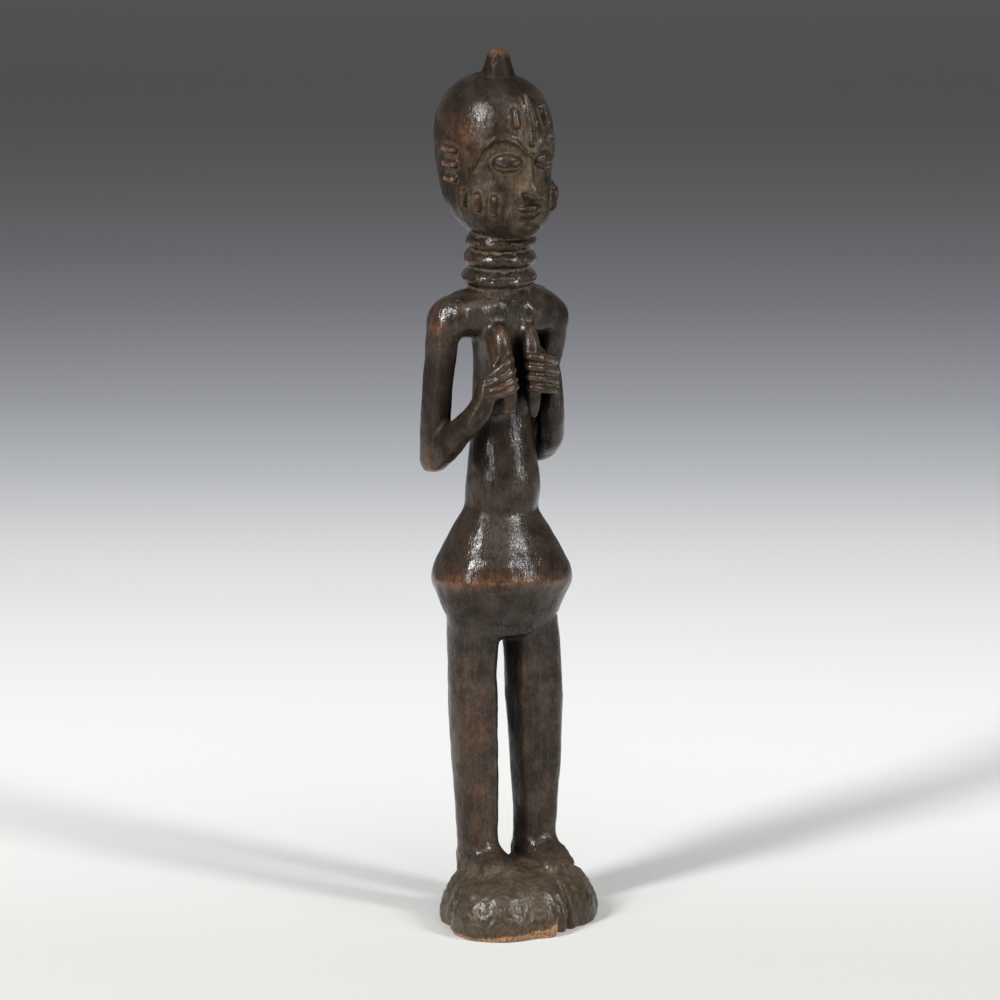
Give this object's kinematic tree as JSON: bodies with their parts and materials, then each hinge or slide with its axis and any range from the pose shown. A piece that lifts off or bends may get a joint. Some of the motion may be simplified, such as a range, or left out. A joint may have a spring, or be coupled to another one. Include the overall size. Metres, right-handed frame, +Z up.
{
  "type": "lulua figure",
  "caption": "Standing carved wooden woman with a ringed neck, raised bars on brow, temples and cheeks and hands on her breasts, in one piece with a low domed base.",
  "frame": {"origin": "middle of the bounding box, on the flat underside of the base", "axes": "+Z up through the figure, -Y the way the figure faces, +X towards the figure's left"},
  "size_m": [0.0684, 0.0798, 0.3588],
  "materials": {
    "carved_wood": "dark brown-black handled patina, semi-gloss, worn reddish brown on the high points"
  },
  "bodies": {
    "root": {"figure": "carved_wood"}
  },
  "joints": []
}
